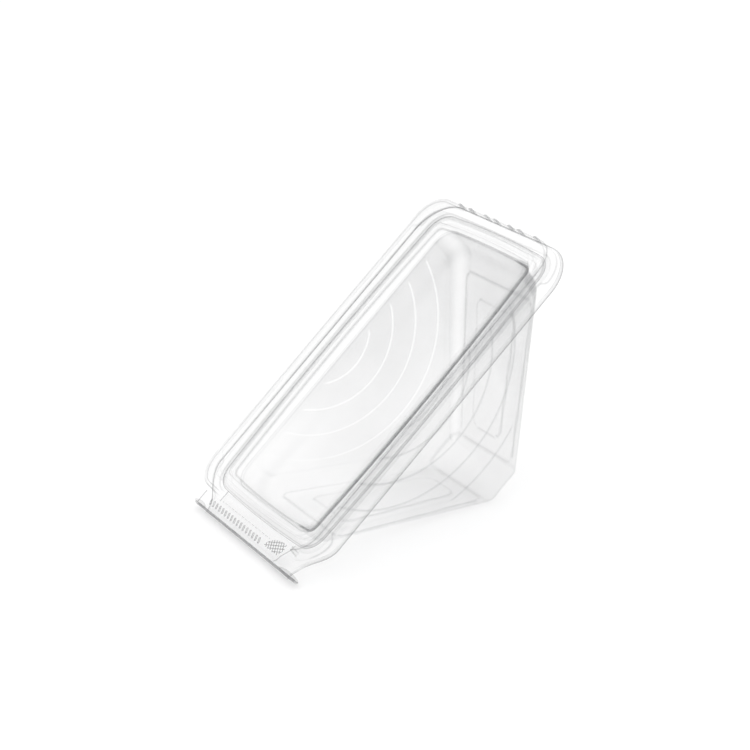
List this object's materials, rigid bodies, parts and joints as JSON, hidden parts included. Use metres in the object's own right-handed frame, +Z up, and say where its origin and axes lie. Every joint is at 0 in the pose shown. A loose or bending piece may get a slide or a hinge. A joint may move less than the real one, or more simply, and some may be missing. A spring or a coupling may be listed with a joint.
{
  "type": "sandwich wedge pack",
  "caption": "Clear hinged wedge pack for a diagonally cut sandwich, with a deep tray, a recessed-window lid, a perimeter ridge and a tear strip at the fold.",
  "frame": {"origin": "middle of the bounding box's underside, on the surface that the pack stands on", "axes": "+Z up, +X from the fold towards the upright leg, +Y across the pack"},
  "size_m": [0.15, 0.1166, 0.1347],
  "materials": {
    "clear_sheet_tray": "clear, smooth",
    "clear_sheet_lid": "clear, smooth"
  },
  "bodies": {
    "tray": {"tray": "clear_sheet_tray"},
    "lid": {"lid": "clear_sheet_lid"}
  },
  "joints": [
    {"name": "lid_hinge", "type": "hinge", "parent": "tray", "child": "lid", "pos_m": [-0.07379, 0, 0.00279], "axis": [0, -1, 0], "range_deg": [0, 115]}
  ]
}
